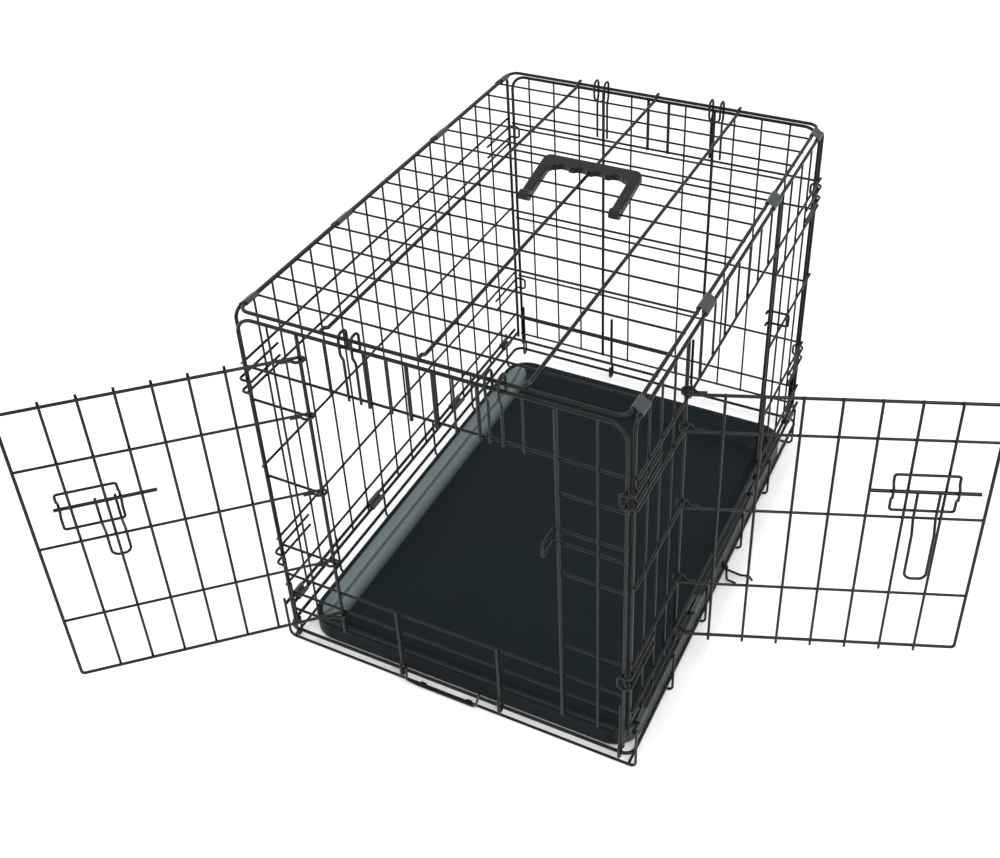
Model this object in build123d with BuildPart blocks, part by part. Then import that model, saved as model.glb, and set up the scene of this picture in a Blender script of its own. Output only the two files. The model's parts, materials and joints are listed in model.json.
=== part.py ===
from build123d import *
import math
import os

os.makedirs("parts", exist_ok=True)

# Wire sizes
frame_wire = 4.0
upright_wire = 2.5
level_wire = 3.0
hook_wire = 3.0
rod_wire = 4.0
weld = 0.1
seat = 0.05

# Heights above the floor
base_z = 21.5
cross_z = level_wire / 2
rail_z = base_z + 37.0
top_z = base_z + 461.7
side_top_z = base_z + 457.0
side_rail_z = base_z + 34.0
side_foot_z = base_z + 26.0
end_top_z = base_z + 455.0
end_foot_z = base_z + 10.0

# Plan sizes, measured to wire centres
base_x = 221.0
base_y = 308.0
side_x = 215.0
side_y = 302.0
top_x = 208.5
top_y = 304.5
end_y = 308.0
post_x = 210.5

# Layers of wire, each set down on its neighbour by the weld
face = frame_wire / 2
skin = face - upright_wire / 2
lap = face + level_wire / 2 - weld
side_level_x = side_x + lap
end_level_y = end_y - lap
end_skin_y = end_y - skin
leg_x = base_x + lap
top_cross_z = top_z - face - upright_wire / 2 + weld


def keep(builder, label):
    builder.part.label = label
    export_step(builder.part, f"parts/{label}.step")


# Base frame: one closed wire with rounded corners
with BuildPart() as base_frame:
    with BuildLine(Plane.XY.offset(base_z)) as ring:
        FilletPolyline(
            (-base_x, -base_y), (base_x, -base_y), (base_x, base_y), (-base_x, base_y),
            radius=12, close=True)
    with BuildSketch(Plane(origin=ring.line @ 0, z_dir=ring.line % 0)):
        Circle(frame_wire / 2)
    sweep()
keep(base_frame, "base_frame")

# Base rails above the frame, one each side
with BuildPart() as base_rails:
    with BuildSketch(Plane.XZ.offset(base_y)):
        with Locations((-base_x, rail_z), (base_x, rail_z)):
            Circle(frame_wire / 2)
    extrude(amount=-2 * base_y + 6)
keep(base_rails, "base_rails")

# Base cross wires under the tray, with ends turned up outside the frame and rails
cross_stations = (-305.0, -193.0, -82.0, 53.0, 165.0, 280.0)
turn_radius = 7.0
straight_end = leg_x - turn_radius - 0.4
with BuildPart() as base_cross_wires:
    with BuildSketch(Plane.YZ.offset(-straight_end)):
        with Locations(*[(y, cross_z) for y in cross_stations]):
            Circle(level_wire / 2)
    extrude(amount=2 * straight_end)
keep(base_cross_wires, "base_cross_wires")

for sign, side in ((-1, "left"), (1, "right")):
    with BuildPart() as base_legs:
        for y in cross_stations:
            with BuildLine() as run:
                FilletPolyline(
                    (sign * leg_x, y, rail_z + 4), (sign * leg_x, y, cross_z),
                    (sign * straight_end, y, cross_z), radius=turn_radius)
            with BuildSketch(Plane(origin=run.line @ 0, z_dir=run.line % 0)):
                Circle(level_wire / 2)
            sweep()
    keep(base_legs, f"base_legs_{side}")

# Base runners: lengthwise wires resting on the cross wires outside the tray
runner_x = base_x - lap - 0.6
with BuildPart() as base_runners:
    with BuildSketch(Plane.XZ.offset(base_y - 0.5)):
        with Locations(
                (-runner_x, cross_z + level_wire - weld),
                (runner_x, cross_z + level_wire - weld)):
            Circle(level_wire / 2)
    extrude(amount=-(base_y + cross_stations[-1] + 4))
keep(base_runners, "base_runners")

# Top panel: closed frame wire
with BuildPart() as top_frame:
    with BuildLine(Plane.XY.offset(top_z)) as ring:
        FilletPolyline(
            (-top_x, -top_y), (top_x, -top_y), (top_x, top_y), (-top_x, top_y),
            radius=12, close=True)
    with BuildSketch(Plane(origin=ring.line @ 0, z_dir=ring.line % 0)):
        Circle(frame_wire / 2)
    sweep()
keep(top_frame, "top_frame")

# Top cross wires under the frame wire
top_pitch = 36.13
top_stations = [(k - 7.5) * top_pitch for k in range(16)]
with BuildPart() as top_cross_wires:
    with BuildSketch(Plane.YZ.offset(-top_x - 1)):
        with Locations(*[(y, top_cross_z) for y in top_stations]):
            Circle(upright_wire / 2)
    extrude(amount=2 * top_x + 2)
keep(top_cross_wires, "top_cross_wires")

# Top long wires lie on the cross wires and bend over the end rails
long_xs = (-108.5, 0.0, 108.5)
long_z = top_cross_z + upright_wire / 2 + face - weld
long_over = top_z + frame_wire - weld
with BuildPart() as top_long_wires:
    for x in long_xs:
        with BuildLine() as run:
            FilletPolyline(
                (x, -top_y - 1.5, long_over), (x, -top_y + 4, long_over),
                (x, -top_y + 10, long_z), (x, top_y - 10, long_z),
                (x, top_y - 4, long_over), (x, top_y + 1.5, long_over), radius=4)
        with BuildSketch(Plane(origin=run.line @ 0, z_dir=run.line % 0)):
            Circle(frame_wire / 2)
        sweep()
keep(top_long_wires, "top_long_wires")

# Side panels
side_pitch = 37.3
level_heights = [base_z + h for h in (66.0, 140.0, 250.0, 353.0)]
long_level_z = base_z + 391.5
door_hinge_y = -167.8
opening_y = 127.5
front_stations = (-270.0, -238.0, -204.0)
rear_stations = (170.0, 212.0, 250.0)
short_stations = [door_hinge_y + side_pitch * k for k in range(1, 8)]
left_stations = [*front_stations, door_hinge_y, *short_stations, opening_y, *rear_stations]
upright_foot = side_rail_z + face - weld
upright_head = side_top_z - face + weld
upright_x = side_x + skin

for sign, side in ((-1, "left"), (1, "right")):
    x = sign * side_x
    with BuildPart() as side_frame:
        with BuildLine() as run:
            FilletPolyline(
                (x, -side_y, side_foot_z), (x, -side_y, side_top_z),
                (x, side_y, side_top_z), (x, side_y, side_foot_z), radius=10)
        with BuildSketch(Plane(origin=run.line @ 0, z_dir=run.line % 0)):
            Circle(frame_wire / 2)
        sweep()
    keep(side_frame, f"{side}_frame")

    hook_x = sign * side_level_x
    inner_x = sign * (post_x - 5.5)
    with BuildPart() as corner_hooks:
        for end in (-1, 1):
            for low in (base_z + 110.0, base_z + 361.0):
                high = low + 16.0
                back = end * 243.0
                front = end * (end_y + face + hook_wire / 2 + 0.2)
                with BuildLine() as run:
                    FilletPolyline(
                        (hook_x, back, low), (hook_x, front, low),
                        (inner_x, front, low), (inner_x, front, high),
                        (hook_x, front, high), (hook_x, back, high), radius=4.2)
                with BuildSketch(Plane(origin=run.line @ 0, z_dir=run.line % 0)):
                    Circle(hook_wire / 2)
                sweep()
    keep(corner_hooks, f"{side}_corner_hooks")

# Left panel, closed
with BuildPart() as left_uprights:
    with BuildSketch(Plane.XY.offset(upright_foot)):
        with Locations(*[(-upright_x, y) for y in left_stations]):
            Circle(upright_wire / 2)
    extrude(amount=upright_head - upright_foot)
keep(left_uprights, "left_uprights")

rail_half = side_y - face + weld
with BuildPart() as left_levels:
    with BuildSketch(Plane.XZ.offset(side_y + 1.5)):
        with Locations(*[(-side_level_x, z) for z in level_heights + [long_level_z]]):
            Circle(level_wire / 2)
    extrude(amount=-2 * (side_y + 1.5))
    with BuildSketch(Plane.XZ.offset(rail_half)):
        with Locations((-side_x, side_rail_z)):
            Circle(frame_wire / 2)
    extrude(amount=-2 * rail_half)
keep(left_levels, "left_levels")

# Right panel, with the side door opening
with BuildPart() as right_uprights:
    with BuildSketch(Plane.XY.offset(upright_foot)):
        with Locations(*[(upright_x, y) for y in front_stations + rear_stations]):
            Circle(upright_wire / 2)
        with Locations((side_x, door_hinge_y), (side_x, opening_y)):
            Circle(frame_wire / 2)
    extrude(amount=upright_head - upright_foot)
    with BuildSketch(Plane.XY.offset(long_level_z - 3.5)):
        with Locations(*[(upright_x, y) for y in short_stations]):
            Circle(upright_wire / 2)
    extrude(amount=upright_head - long_level_z + 3.5)
keep(right_uprights, "right_uprights")

with BuildPart() as right_levels:
    with BuildSketch(Plane.XZ.offset(side_y + 1.5)):
        with Locations((side_level_x, long_level_z), (side_level_x, level_heights[0])):
            Circle(level_wire / 2)
    extrude(amount=-2 * (side_y + 1.5))
    with BuildSketch(Plane.XZ.offset(side_y + 1.5)):
        with Locations(*[(side_level_x, z) for z in level_heights[1:]]):
            Circle(level_wire / 2)
    extrude(amount=-(side_y + 1.5 + door_hinge_y + 1))
    with BuildSketch(Plane.XZ.offset(-opening_y + 1)):
        with Locations(*[(side_level_x, z) for z in level_heights[1:]]):
            Circle(level_wire / 2)
    extrude(amount=-(side_y + 1.5 - opening_y + 1))
    with BuildSketch(Plane.XZ.offset(rail_half)):
        with Locations((side_x, side_rail_z)):
            Circle(frame_wire / 2)
    extrude(amount=-2 * rail_half)
keep(right_levels, "right_levels")

# Sheet clips that hold the side panels to the top frame and to the base rails
clip_long = 27.0
clip_short = 19.0
clip_sheet = 1.0
clip_bore = face + 0.1
clip_sets = (
    ("clips_top", (top_x, top_z), (side_x, side_top_z),
     ((-282.2, clip_short), (-109.8, clip_long), (110.0, clip_long), (282.2, clip_short))),
    ("clips_base", (base_x, rail_z), (side_x, side_rail_z),
     ((-282.2, clip_short), (-109.8, clip_long), (110.0, clip_long), (264.6, clip_short))))
for name, first, second, stations in clip_sets:
    run_x = second[0] - first[0]
    run_z = second[1] - first[1]
    apart = math.hypot(run_x, run_z)
    tilt = math.degrees(math.atan2(run_z, run_x))
    middle = ((first[0] + second[0]) / 2, (first[1] + second[1]) / 2)
    for sign, side in ((-1, "left"), (1, "right")):
        with BuildPart() as clips:
            for y, clip_length in stations:
                with BuildSketch(Plane.XZ.offset(-y - clip_length / 2)):
                    with Locations(Location((sign * middle[0], middle[1], 0), (0, 0, sign * tilt))):
                        SlotCenterToCenter(apart, 2 * (clip_bore + clip_sheet))
                        SlotCenterToCenter(apart, 2 * clip_bore, mode=Mode.SUBTRACT)
                        with Locations((0, -clip_bore)):
                            Rectangle(apart * 0.5, 2 * clip_bore, mode=Mode.SUBTRACT)
                extrude(amount=clip_length)
        keep(clips, f"{name}_{side}")

# End panels
door_x = -138.1
opening_x = 140.0
end_long_z = base_z + 391.0
sills = [base_z + h for h in (31.0, 60.0, 89.0)]
tail_x = post_x - face - hook_wire / 2 + weld
foot_x = 63.0
hairpin_x = 78.5
hairpin_half = 7.0

for sign, end in ((-1, "front"), (1, "back")):
    y = sign * end_y
    with BuildPart() as end_frame:
        with BuildLine() as run:
            FilletPolyline(
                (-post_x, y, end_foot_z), (-post_x, y, end_top_z),
                (post_x, y, end_top_z), (post_x, y, end_foot_z), radius=20)
        with BuildSketch(Plane(origin=run.line @ 0, z_dir=run.line % 0)):
            Circle(frame_wire / 2)
        sweep()
        out = sign * (end_y + face + hook_wire / 2 - seat)
        back = sign * (end_y - face - hook_wire / 2 - 0.8)
        for x in (-tail_x, tail_x):
            with BuildLine() as run:
                FilletPolyline(
                    (x, y, base_z + 78), (x, y, base_z + 15), (x, out, base_z + 8),
                    (x, out, base_z - 7), (x, back, base_z - 7),
                    (x, back, base_z + 17), radius=3)
            with BuildSketch(Plane(origin=run.line @ 0, z_dir=run.line % 0)):
                Circle(hook_wire / 2)
            sweep()
    keep(end_frame, f"{end}_frame")

    with BuildPart() as feet:
        out = sign * (end_y + frame_wire - seat)
        back = sign * (end_y - frame_wire - 0.8)
        for x in (-foot_x, foot_x):
            with BuildLine() as run:
                FilletPolyline(
                    (x, y, base_z + 95), (x, y, base_z + 17), (x, out, base_z + 9),
                    (x, out, base_z - 8), (x, back, base_z - 8),
                    (x, back, base_z + 10), radius=4)
            with BuildSketch(Plane(origin=run.line @ 0, z_dir=run.line % 0)):
                Circle(frame_wire / 2)
            sweep()
    keep(feet, f"{end}_feet")

    with BuildPart() as top_hooks:
        low_y = sign * (end_level_y + level_wire - weld)
        out = sign * (end_y + face + hook_wire / 2 - weld)
        back = sign * (top_y - 7.0)
        hook_top = base_z + 470.0
        hook_foot = base_z + 445.0
        for x in (-hairpin_x, hairpin_x):
            a = x - hairpin_half
            b = x + hairpin_half
            with BuildLine() as run:
                FilletPolyline(
                    (a, low_y, end_long_z - 3), (a, low_y, end_top_z - 17),
                    (a, out, end_top_z - 8), (a, out, hook_top), (a, back, hook_top),
                    (a, back, hook_foot), (b, back, hook_foot), (b, back, hook_top),
                    (b, out, hook_top), (b, out, end_top_z - 8),
                    (b, low_y, end_top_z - 17), (b, low_y, end_long_z - 3), radius=6)
            with BuildSketch(Plane(origin=run.line @ 0, z_dir=run.line % 0)):
                Circle(hook_wire / 2)
            sweep()
    keep(top_hooks, f"{end}_top_hooks")

# Front uprights: full height beside the opening, short ones above it
end_head = end_top_z - face + weld
end_low = base_z + 27.0
with BuildPart() as front_uprights:
    with BuildSketch(Plane.XY.offset(end_low)):
        with Locations((door_x, -end_y), (opening_x, -end_y)):
            Circle(frame_wire / 2)
        with Locations((-174.0, -end_skin_y), (181.0, -end_skin_y)):
            Circle(upright_wire / 2)
    extrude(amount=end_head - end_low)
    with BuildSketch(Plane.XY.offset(end_long_z - 3.5)):
        with Locations(*[(x, -end_y) for x in (-61.0, -14.0, 14.0, 61.0)]):
            Circle(frame_wire / 2)
        with Locations(*[(x, -end_skin_y) for x in (-107.0, -36.0, 35.0, 107.0)]):
            Circle(upright_wire / 2)
    extrude(amount=end_head - end_long_z + 3.5)
keep(front_uprights, "front_uprights")

level_end = post_x + 1.0
stub_heights = [base_z + h for h in (136.2, 241.0, 347.5)]
with BuildPart() as front_levels:
    with BuildSketch(Plane.YZ.offset(-level_end)):
        with Locations(*[(-end_level_y, z) for z in sills + [end_long_z]]):
            Circle(level_wire / 2)
    extrude(amount=2 * level_end)
    with BuildSketch(Plane.YZ.offset(-level_end)):
        with Locations(*[(-end_level_y, z) for z in stub_heights]):
            Circle(level_wire / 2)
    extrude(amount=level_end + door_x + 1)
    with BuildSketch(Plane.YZ.offset(opening_x - 1)):
        with Locations(*[(-end_level_y, z) for z in stub_heights]):
            Circle(level_wire / 2)
    extrude(amount=level_end - opening_x + 1)
keep(front_levels, "front_levels")

# Keepers: hoops that take the bolt rods
rod_z = base_z + 288.0
keeper_low = rod_z - 5.5
keeper_high = rod_z + 11.5
keeper_reach = 22.0
front_keeper_x = opening_x - face - level_wire / 2 - 3.0
with BuildPart() as front_keeper:
    hoop_y = -end_y - keeper_reach
    with BuildLine() as run:
        FilletPolyline(
            (level_end, -end_level_y, keeper_low), (front_keeper_x, -end_level_y, keeper_low),
            (front_keeper_x, hoop_y, keeper_low), (front_keeper_x, hoop_y, keeper_high),
            (front_keeper_x, -end_level_y, keeper_high),
            (level_end, -end_level_y, keeper_high), radius=4)
    with BuildSketch(Plane(origin=run.line @ 0, z_dir=run.line % 0)):
        Circle(level_wire / 2)
    sweep()
keep(front_keeper, "front_keeper")

side_keeper_y = opening_y + face + level_wire / 2 - weld
with BuildPart() as side_keeper:
    hoop_x = side_x + keeper_reach
    curl_x = side_x - face - level_wire / 2 + weld
    with BuildLine() as run:
        FilletPolyline(
            (curl_x, opening_y - 4, keeper_low), (curl_x, side_keeper_y, keeper_low),
            (hoop_x, side_keeper_y, keeper_low), (hoop_x, side_keeper_y, keeper_high),
            (curl_x, side_keeper_y, keeper_high), (curl_x, opening_y - 4, keeper_high), radius=3)
    with BuildSketch(Plane(origin=run.line @ 0, z_dir=run.line % 0)):
        Circle(level_wire / 2)
    sweep()
keep(side_keeper, "side_keeper")

# Back panel, closed
back_heights = [base_z + h for h in (31.0, 60.0, 137.0, 236.0, 345.0, 386.0)]
with BuildPart() as back_uprights:
    with BuildSketch(Plane.XY.offset(end_low)):
        with Locations(*[(x, end_skin_y) for x in (-185.0, -148.5, -112.0, -37.0, 37.0, 102.0, 137.0, 173.0)]):
            Circle(upright_wire / 2)
        with Locations((-77.0, end_y), (75.0, end_y)):
            Circle(frame_wire / 2)
    extrude(amount=end_head - end_low)
    with BuildSketch(Plane.XY.offset(back_heights[-1] - 3.5)):
        with Locations((-14.0, end_y), (14.0, end_y)):
            Circle(frame_wire / 2)
    extrude(amount=end_head - back_heights[-1] + 3.5)
keep(back_uprights, "back_uprights")

with BuildPart() as back_levels:
    with BuildSketch(Plane.YZ.offset(-level_end)):
        with Locations(*[(end_level_y, z) for z in back_heights]):
            Circle(level_wire / 2)
    extrude(amount=2 * level_end)
keep(back_levels, "back_levels")

# Doors: both hang on a 4 mm upright by wire eyes
door_wire = 3.5
bolt_play = 0.35
eye_gap = 0.25
frame_eye = face + eye_gap + door_wire / 2
level_eye = face + eye_gap + level_wire / 2 + 0.5
eye_tail = 20.0


def door_plane(x, y, angle):
    turn = math.radians(angle)
    return Plane(
        origin=(x, y, 0), x_dir=(math.cos(turn), math.sin(turn), 0),
        z_dir=(math.sin(turn), -math.cos(turn), 0))


doors = {
    "front_door": {
        "place": door_plane(door_x, -end_y, -137.8), "reach": 290.9, "off": frame_eye,
        "top": 423.5, "foot": 55.9, "levels": (140.4, 246.6, 351.6),
        "bars": [73.2 + 35.25 * k for k in range(6)],
        "guide": (201.0, 262.0), "rod": (164.0, 267.0), "legs": (206.0, 226.0), "grip": 203.0},
    "side_door": {
        "place": door_plane(side_x, door_hinge_y, 20.6), "reach": 305.0,
        "off": lap + level_wire / 2 + door_wire / 2 + 0.45,
        "top": 395.9, "foot": 54.8, "levels": (136.2, 246.2, 349.2),
        "bars": [side_pitch * k for k in range(1, 8)],
        "guide": (208.0, 272.0), "rod": (186.0, 294.5), "legs": (232.0, 254.0), "grip": 176.0}}

for door, size in doors.items():
    place = size["place"]
    top = base_z + size["top"]
    foot = base_z + size["foot"]
    reach = size["reach"]
    off = size["off"]
    tail = off - door_wire + seat
    level_off = off + door_wire / 2 - level_wire / 2
    level_tail = level_off - level_wire + seat
    bar_off = off + door_wire / 2 + level_wire / 2 - weld
    guide_off = bar_off + level_wire - weld
    rod_off = bar_off + level_wire / 2 + rod_wire / 2 + bolt_play + 0.6
    guide_out = rod_off + rod_wire / 2 + level_wire / 2 + bolt_play
    grip_off = rod_off + rod_wire / 2 + level_wire / 2 - weld

    with BuildPart() as door_frame:
        eye = frame_eye
        with BuildLine(place) as run:
            FilletPolyline(
                (eye_tail, foot, tail), (9.5, foot, tail), (5.5, foot, -eye),
                (-eye, foot, -eye), (-eye, foot, off),
                (reach, foot, off), (reach, top, off),
                (-eye, top, off), (-eye, top, -eye),
                (5.5, top, -eye), (9.5, top, tail), (eye_tail, top, tail), radius=3.9)
        with BuildSketch(Plane(origin=run.line @ 0, z_dir=run.line % 0)):
            Circle(door_wire / 2)
        sweep()
    keep(door_frame, f"{door}_frame")

    with BuildPart() as door_levels:
        for height in size["levels"]:
            z = base_z + height
            eye = level_eye
            with BuildLine(place) as run:
                FilletPolyline(
                    (eye_tail, z, level_tail), (9.5, z, level_tail), (5.5, z, -eye),
                    (-eye, z, -eye), (-eye, z, level_off),
                    (reach - door_wire / 2 + weld, z, level_off), radius=3.9)
            with BuildSketch(Plane(origin=run.line @ 0, z_dir=run.line % 0)):
                Circle(level_wire / 2)
            sweep()
    keep(door_levels, f"{door}_levels")

    with BuildPart() as door_uprights:
        for s in size["bars"]:
            with BuildLine(place) as run:
                Line((s, foot - 4, bar_off), (s, top + 4, bar_off))
            with BuildSketch(Plane(origin=run.line @ 0, z_dir=run.line % 0)):
                Circle(level_wire / 2)
            sweep()
    keep(door_uprights, f"{door}_uprights")

    near, far = size["guide"]
    low = base_z + 261.5
    high = base_z + 309.0
    with BuildPart() as bolt_guide:
        with BuildLine(place) as run:
            FilletPolyline(
                (far, low, guide_off),
                (far, rod_z - 11, guide_off), (far, rod_z - 6, guide_out),
                (far, rod_z + 6, guide_out), (far, rod_z + 11, guide_off),
                (far, high, guide_off), (near, high, guide_off),
                (near, rod_z + 11, guide_off), (near, rod_z + 6, guide_out),
                (near, rod_z - 6, guide_out), (near, rod_z - 11, guide_off),
                (near, low, guide_off), radius=3, close=True)
        with BuildSketch(Plane(origin=run.line @ 0, z_dir=run.line % 0)):
            Circle(level_wire / 2)
        sweep()
    keep(bolt_guide, f"{door.replace('door', 'bolt')}_guide")

    start, tip = size["rod"]
    one, two = size["legs"]
    grip = base_z + size["grip"]
    with BuildPart() as bolt:
        with BuildLine(place) as run:
            Line((start, rod_z, rod_off), (tip, rod_z, rod_off))
        with BuildSketch(Plane(origin=run.line @ 0, z_dir=run.line % 0)):
            Circle(rod_wire / 2)
        sweep()
        with BuildLine(place) as run:
            FilletPolyline(
                (one, rod_z + 2, grip_off), (one, rod_z - 33, grip_off),
                (one, rod_z - 50, grip_off + 6), (one, grip, grip_off + 6),
                (two, grip, grip_off + 6), (two, rod_z - 50, grip_off + 6),
                (two, rod_z - 33, grip_off), (two, rod_z + 2, grip_off), radius=8)
        with BuildSketch(Plane(origin=run.line @ 0, z_dir=run.line % 0)):
            Circle(level_wire / 2)
        sweep()
    keep(bolt, door.replace("door", "bolt"))

# Carry handle: a moulded bail that turns on one top cross wire
pivot_y = top_stations[8]
handle_x = 6.0
handle_half = 61.0
leg_wide = 12.0
grip_far = 72.0
grip_deep = 17.0
lean = 12.2
pivot_bore = upright_wire / 2 + 0.1
turn = math.radians(lean)
handle_plane = Plane(
    origin=(handle_x, pivot_y, top_cross_z), x_dir=(1, 0, 0),
    z_dir=(0, -math.sin(turn), math.cos(turn)))
with BuildPart() as carry_handle:
    with BuildSketch(handle_plane.offset(-5.0)):
        with Locations((0, grip_far / 2)):
            RectangleRounded(2 * handle_half, grip_far, 9)
        with Locations((0, (grip_far - grip_deep) / 2 - 6)):
            RectangleRounded(2 * (handle_half - leg_wide), grip_far - grip_deep + 12, 8, mode=Mode.SUBTRACT)
        with Locations(*[(x, grip_far - grip_deep - 11.0) for x in (-33.0, -11.0, 11.0, 33.0)]):
            Circle(14.0, mode=Mode.SUBTRACT)
    extrude(amount=9.0)
    up = Axis(handle_plane.origin, handle_plane.z_dir)
    fillet(carry_handle.faces().sort_by(up)[-1].edges(), 2.5)
    for x in (-handle_half + leg_wide / 2, handle_half - leg_wide / 2):
        with BuildSketch(Plane.YZ.offset(handle_x + x - leg_wide / 2)):
            with Locations((pivot_y, top_cross_z)):
                Circle(6.0)
        extrude(amount=leg_wide)
    with BuildSketch(Plane.YZ.offset(handle_x - handle_half - 5)):
        with Locations((pivot_y, top_cross_z)):
            Circle(pivot_bore)
    extrude(amount=2 * handle_half + 10, mode=Mode.SUBTRACT)
keep(carry_handle, "carry_handle")

# Tray: resting on the base cross wires, inside the base frame
tray_wide = 421.4
tray_long = 567.0
tray_high = 24.0
tray_x = 3.7
tray_y = -9.5
tray_z = level_wire + 0.1
tray_sheet = 2.6
tray_corner = 34.0
rim = 6.0
slope = 24.0
with BuildPart() as tray:
    with BuildSketch(Plane.XY.offset(tray_z)):
        with Locations((tray_x, tray_y)):
            RectangleRounded(tray_wide, tray_long, tray_corner)
    extrude(amount=tray_high)
    chamfer(tray.edges().group_by(Axis.Z)[0], 2.0)
    for drop, inset in ((0.0, rim), (tray_high - tray_sheet, rim + slope)):
        with BuildSketch(Plane.XY.offset(tray_z + tray_high - drop)):
            with Locations((tray_x, tray_y)):
                RectangleRounded(
                    tray_wide - 2 * inset, tray_long - 2 * inset, tray_corner - inset * 0.6)
    loft(mode=Mode.SUBTRACT)
keep(tray, "tray")

# Tray stop: swings on the front base cross wire, prongs up in front of the base frame
stop_y = cross_stations[0]
stop_gap = 0.3
stop_bore = level_wire / 2 + stop_gap
stop_bar = stop_bore + hook_wire / 2 + 0.1
stop_front = -base_y - face - hook_wire / 2 - 1.0
with BuildPart() as tray_stop:
    with BuildLine() as run:
        FilletPolyline(
            (-54.0, stop_front - 2.0, base_z + 13), (-56.0, stop_front - 1.0, cross_z + 11),
            (-48.0, stop_y - stop_bar, cross_z + 1.5), (28.0, stop_y - stop_bar, cross_z + 1.5),
            (34.0, stop_front - 1.0, cross_z + 12), (40.0, stop_front - 2.0, base_z + 13), radius=3)
    with BuildSketch(Plane(origin=run.line @ 0, z_dir=run.line % 0)):
        Circle(hook_wire / 2)
    sweep()
    for x in (-40.0, 20.0):
        with BuildSketch(Plane.YZ.offset(x - 3.0)):
            with Locations((stop_y, cross_z)):
                Circle(stop_bore + 1.2)
            with Locations((stop_y - stop_bar / 2 - 0.5, cross_z + 0.75)):
                Rectangle(stop_bar, hook_wire * 0.8)
            with Locations((stop_y, cross_z)):
                Circle(stop_bore, mode=Mode.SUBTRACT)
        extrude(amount=6.0)
keep(tray_stop, "tray_stop")

# Side hook: a small wire hook hanging on the right base frame wire
eye_r = face + 0.3 + hook_wire / 2
with BuildPart() as side_hook:
    with BuildLine() as run:
        FilletPolyline(
            (base_x + 35, 2, base_z - 15), (base_x + 30, 2, base_z - 9),
            (base_x + 20, 2, base_z - 12), (base_x - eye_r, 2, base_z - 9),
            (base_x - eye_r, 1, base_z + eye_r), (base_x + eye_r, -5, base_z + eye_r),
            (base_x + eye_r, -6, base_z - 7), (base_x + 6, -10, base_z - 14),
            (base_x + 18, -10, base_z - 16), radius=2.6)
    with BuildSketch(Plane(origin=run.line @ 0, z_dir=run.line % 0)):
        Circle(hook_wire / 2)
    sweep()
keep(side_hook, "side_hook")
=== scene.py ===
import json
import math

import bmesh
import bpy
from mathutils import Matrix, Vector

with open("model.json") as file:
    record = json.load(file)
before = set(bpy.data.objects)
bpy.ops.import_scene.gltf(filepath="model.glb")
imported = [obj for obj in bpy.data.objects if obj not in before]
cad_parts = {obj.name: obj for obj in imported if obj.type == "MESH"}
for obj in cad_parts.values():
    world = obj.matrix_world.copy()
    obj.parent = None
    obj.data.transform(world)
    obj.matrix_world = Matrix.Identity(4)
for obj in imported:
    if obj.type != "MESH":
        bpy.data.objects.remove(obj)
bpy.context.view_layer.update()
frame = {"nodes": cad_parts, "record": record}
nodes = frame["nodes"]
print("frame loaded:", len(nodes), "nodes")

scene = bpy.context.scene


def newMaterial(name):
    material = bpy.data.materials.new(name)
    material.use_nodes = True
    tree = material.node_tree
    shader = tree.nodes["Principled BSDF"]
    return material, tree, shader


def addNode(tree, kind, **values):
    node = tree.nodes.new(kind)
    for key, value in values.items():
        setattr(node, key, value)
    return node


def noiseBump(tree, shader, scale, detail, strength, distance):
    coords = addNode(tree, "ShaderNodeTexCoord")
    noise = addNode(tree, "ShaderNodeTexNoise")
    noise.inputs["Scale"].default_value = scale
    noise.inputs["Detail"].default_value = detail
    bump = addNode(tree, "ShaderNodeBump")
    bump.inputs["Strength"].default_value = strength
    bump.inputs["Distance"].default_value = distance
    tree.links.new(coords.outputs["Object"], noise.inputs["Vector"])
    tree.links.new(noise.outputs["Fac"], bump.inputs["Height"])
    tree.links.new(bump.outputs["Normal"], shader.inputs["Normal"])
    return coords, noise


wireLook = {"base": (0.0026, 0.0030, 0.0033, 1), "rough": 0.33, "specular": 0.24, "grain": 420.0}


def makeWire():
    material, tree, shader = newMaterial("coatedWire")
    noise = noiseBump(tree, shader, wireLook["grain"], 3.0, 0.12, 0.0002)[1]
    ramp = addNode(tree, "ShaderNodeMapRange")
    ramp.inputs["To Min"].default_value = wireLook["rough"] - 0.06
    ramp.inputs["To Max"].default_value = wireLook["rough"] + 0.10
    tree.links.new(noise.outputs["Fac"], ramp.inputs["Value"])
    tree.links.new(ramp.outputs["Result"], shader.inputs["Roughness"])
    shader.inputs["Base Color"].default_value = wireLook["base"]
    shader.inputs["Specular IOR Level"].default_value = wireLook["specular"]
    return material


clipLook = {"base": (0.035, 0.044, 0.043, 1), "rough": 0.4, "metal": 0.35}


def makeClip():
    material, tree, shader = newMaterial("sheetClip")
    noiseBump(tree, shader, 260.0, 4.0, 0.2, 0.0002)
    shader.inputs["Base Color"].default_value = clipLook["base"]
    shader.inputs["Roughness"].default_value = clipLook["rough"]
    shader.inputs["Metallic"].default_value = clipLook["metal"]
    return material


handleLook = {"base": (0.0035, 0.0036, 0.004, 1), "rough": 0.42, "specular": 0.3}


def makeHandle():
    material, tree, shader = newMaterial("handlePlastic")
    noiseBump(tree, shader, 900.0, 2.0, 0.15, 0.0001)
    shader.inputs["Base Color"].default_value = handleLook["base"]
    shader.inputs["Roughness"].default_value = handleLook["rough"]
    shader.inputs["Specular IOR Level"].default_value = handleLook["specular"]
    return material


trayLook = {
    "floor": (0.0016, 0.0046, 0.0066, 1), "patch": (0.0042, 0.0098, 0.0125, 1),
    "rough": 0.45, "specular": 0.1, "grain": 900.0}


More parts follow.
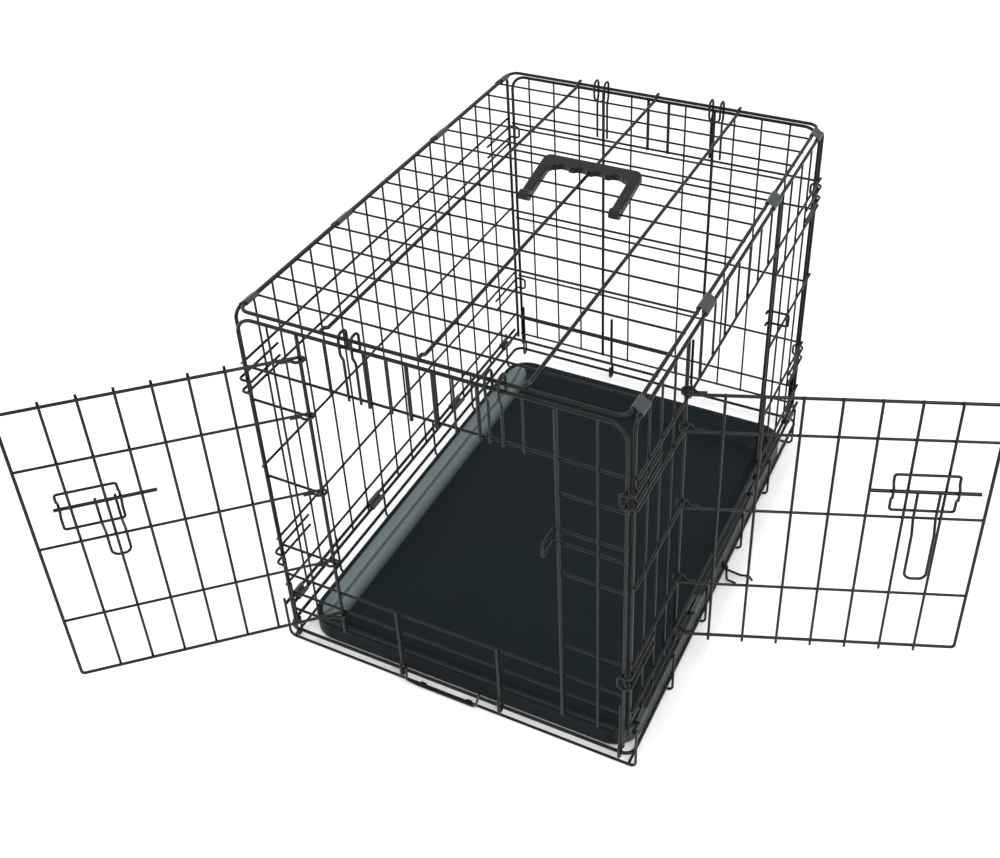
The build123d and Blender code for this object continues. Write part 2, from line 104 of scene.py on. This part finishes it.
def makeTray():
    material, tree, shader = newMaterial("trayPlastic")
    coords = noiseBump(tree, shader, trayLook["grain"], 4.0, 0.35, 0.0004)[0]
    broad = addNode(tree, "ShaderNodeTexNoise")
    broad.inputs["Scale"].default_value = 4.0
    broad.inputs["Detail"].default_value = 5.0
    blend = addNode(tree, "ShaderNodeMix", data_type="RGBA")
    blend.inputs["A"].default_value = trayLook["floor"]
    blend.inputs["B"].default_value = trayLook["patch"]
    tree.links.new(coords.outputs["Object"], broad.inputs["Vector"])
    tree.links.new(broad.outputs["Fac"], blend.inputs["Factor"])
    tree.links.new(blend.outputs["Result"], shader.inputs["Base Color"])
    shader.inputs["Roughness"].default_value = trayLook["rough"]
    shader.inputs["Specular IOR Level"].default_value = trayLook["specular"]
    return material


# Painted light: a lighter copy of the tray plastic for the faces that point toward +X. Its ramp across X
# paints a highlight strip on the left slope (two light bands split by a thin dark line) and a painted lit grey
# on the right outer wall. Fine grain speckle varies the painted colour.
paintedLightSlopeLook = {
    "left": -0.2075, "right": 0.2145, "facing": 0.35, "rough": 0.5, "specular": 0.12, "grain": 1400.0,
    "stops": (
        (0.0, (0.010, 0.016, 0.018, 1)), (0.016, (0.12, 0.155, 0.155, 1)),
        (0.036, (0.15, 0.19, 0.19, 1)),
        (0.040, (0.012, 0.018, 0.020, 1)), (0.046, (0.14, 0.18, 0.18, 1)), (0.060, (0.085, 0.115, 0.118, 1)),
        (0.074, (0.006, 0.012, 0.015, 1)), (0.955, (0.006, 0.012, 0.015, 1)), (0.99, (0.055, 0.07, 0.072, 1)))}


def makePaintedLightSlope():
    material, tree, shader = newMaterial("trayPaintedLightSlope")
    coords, fine = noiseBump(tree, shader, paintedLightSlopeLook["grain"], 4.0, 0.4, 0.0004)
    split = addNode(tree, "ShaderNodeSeparateXYZ")
    across = addNode(tree, "ShaderNodeMapRange")
    across.inputs["From Min"].default_value = paintedLightSlopeLook["left"]
    across.inputs["From Max"].default_value = paintedLightSlopeLook["right"]
    ramp = addNode(tree, "ShaderNodeValToRGB")
    stops = paintedLightSlopeLook["stops"]
    while len(ramp.color_ramp.elements) < len(stops):
        ramp.color_ramp.elements.new(0.5)
    for element, (place, colour) in zip(ramp.color_ramp.elements, stops):
        element.position = place
        element.color = colour
    speckle = addNode(tree, "ShaderNodeMapRange")
    speckle.inputs["From Min"].default_value = 0.3
    speckle.inputs["From Max"].default_value = 0.7
    speckle.inputs["To Min"].default_value = 0.55
    speckle.inputs["To Max"].default_value = 1.35
    shade = addNode(tree, "ShaderNodeVectorMath", operation="SCALE")
    tree.links.new(coords.outputs["Object"], split.inputs["Vector"])
    tree.links.new(split.outputs["X"], across.inputs["Value"])
    tree.links.new(across.outputs["Result"], ramp.inputs["Fac"])
    tree.links.new(fine.outputs["Fac"], speckle.inputs["Value"])
    tree.links.new(ramp.outputs["Color"], shade.inputs[0])
    tree.links.new(speckle.outputs["Result"], shade.inputs["Scale"])
    tree.links.new(shade.outputs["Vector"], shader.inputs["Base Color"])
    shader.inputs["Roughness"].default_value = paintedLightSlopeLook["rough"]
    shader.inputs["Specular IOR Level"].default_value = paintedLightSlopeLook["specular"]
    return material


wire = makeWire()
clip = makeClip()
handle = makeHandle()
trayPlastic = makeTray()
looks = {"wire": wire, "clip": clip, "handle": handle, "tray": trayPlastic}
for part in frame["record"]["subparts"]:
    item = nodes[part["node"]]
    item.data.materials.clear()
    item.data.materials.append(looks[part["material_slot"]])
print("materials set")


for name, item in nodes.items():
    for polygon in item.data.polygons:
        polygon.use_smooth = True

# The tray gets a second, painted-light material. Its faces turned toward +X, the lit side, use it.
nodes["tray"].data.materials.append(makePaintedLightSlope())
for polygon in nodes["tray"].data.polygons:
    if polygon.normal.x > paintedLightSlopeLook["facing"]:
        polygon.material_index = 1
print("tray slopes set")

stageLook = {"floor": (0.93, 0.93, 0.93, 1), "size": 12.0}


def makeStage():
    mesh = bpy.data.meshes.new("floorSheet")
    shape = bmesh.new()
    half = stageLook["size"] / 2
    corners = ((-half, -half), (half, -half), (half, half), (-half, half))
    shape.faces.new([shape.verts.new((x, y, 0.0)) for x, y in corners])
    shape.to_mesh(mesh)
    shape.free()
    floor = bpy.data.objects.new("floorSheet", mesh)
    scene.collection.objects.link(floor)
    material, tree, shader = newMaterial("paleFloor")
    shader.inputs["Base Color"].default_value = stageLook["floor"]
    shader.inputs["Roughness"].default_value = 0.9
    mesh.materials.append(material)


makeStage()
print("stage set")

worldLook = {"strength": 1.0}
world = bpy.data.worlds.new("softSky")
world.use_nodes = True
scene.world = world
background = world.node_tree.nodes["Background"]
background.inputs["Color"].default_value = (1, 1, 1, 1)
background.inputs["Strength"].default_value = worldLook["strength"]


def areaLight(name, place, target, size, power):
    data = bpy.data.lights.new(name, "AREA")
    data.energy = power
    data.size = size
    lamp = bpy.data.objects.new(name, data)
    lamp.location = place
    aim = Vector(target) - Vector(place)
    lamp.rotation_euler = aim.to_track_quat("-Z", "Y").to_euler()
    scene.collection.objects.link(lamp)


areaLight("keyLight", (1.6, -1.4, 2.6), (0, 0, 0.2), 1.6, 60)
areaLight("fillLight", (-2.2, -0.6, 2.0), (0, 0, 0.2), 2.0, 30)

cameraLook = {
    "place": (0.5269, -1.1055, 1.1925), "focal": 1.2773, "shift": (-0.02245, -0.1051),
    "right": (0.897029, 0.440644, -0.034227), "down": (0.229215, -0.530033, -0.816410),
    "ahead": (-0.377887, 0.724498, -0.576458)}


def makeCamera():
    data = bpy.data.cameras.new("photoCamera")
    camera = bpy.data.objects.new("photoCamera", data)
    scene.collection.objects.link(camera)
    right = Vector(cameraLook["right"])
    up = -Vector(cameraLook["down"])
    back = -Vector(cameraLook["ahead"])
    turn = Matrix((right, up, back)).transposed().to_4x4()
    camera.matrix_world = Matrix.Translation(cameraLook["place"]) @ turn
    data.sensor_fit = "HORIZONTAL"
    data.sensor_width = 36.0
    data.lens = cameraLook["focal"] * 36.0
    data.shift_x, data.shift_y = cameraLook["shift"]
    data.clip_start = 0.05
    data.clip_end = 50.0
    scene.camera = camera


makeCamera()

scene.view_settings.view_transform = "Standard"
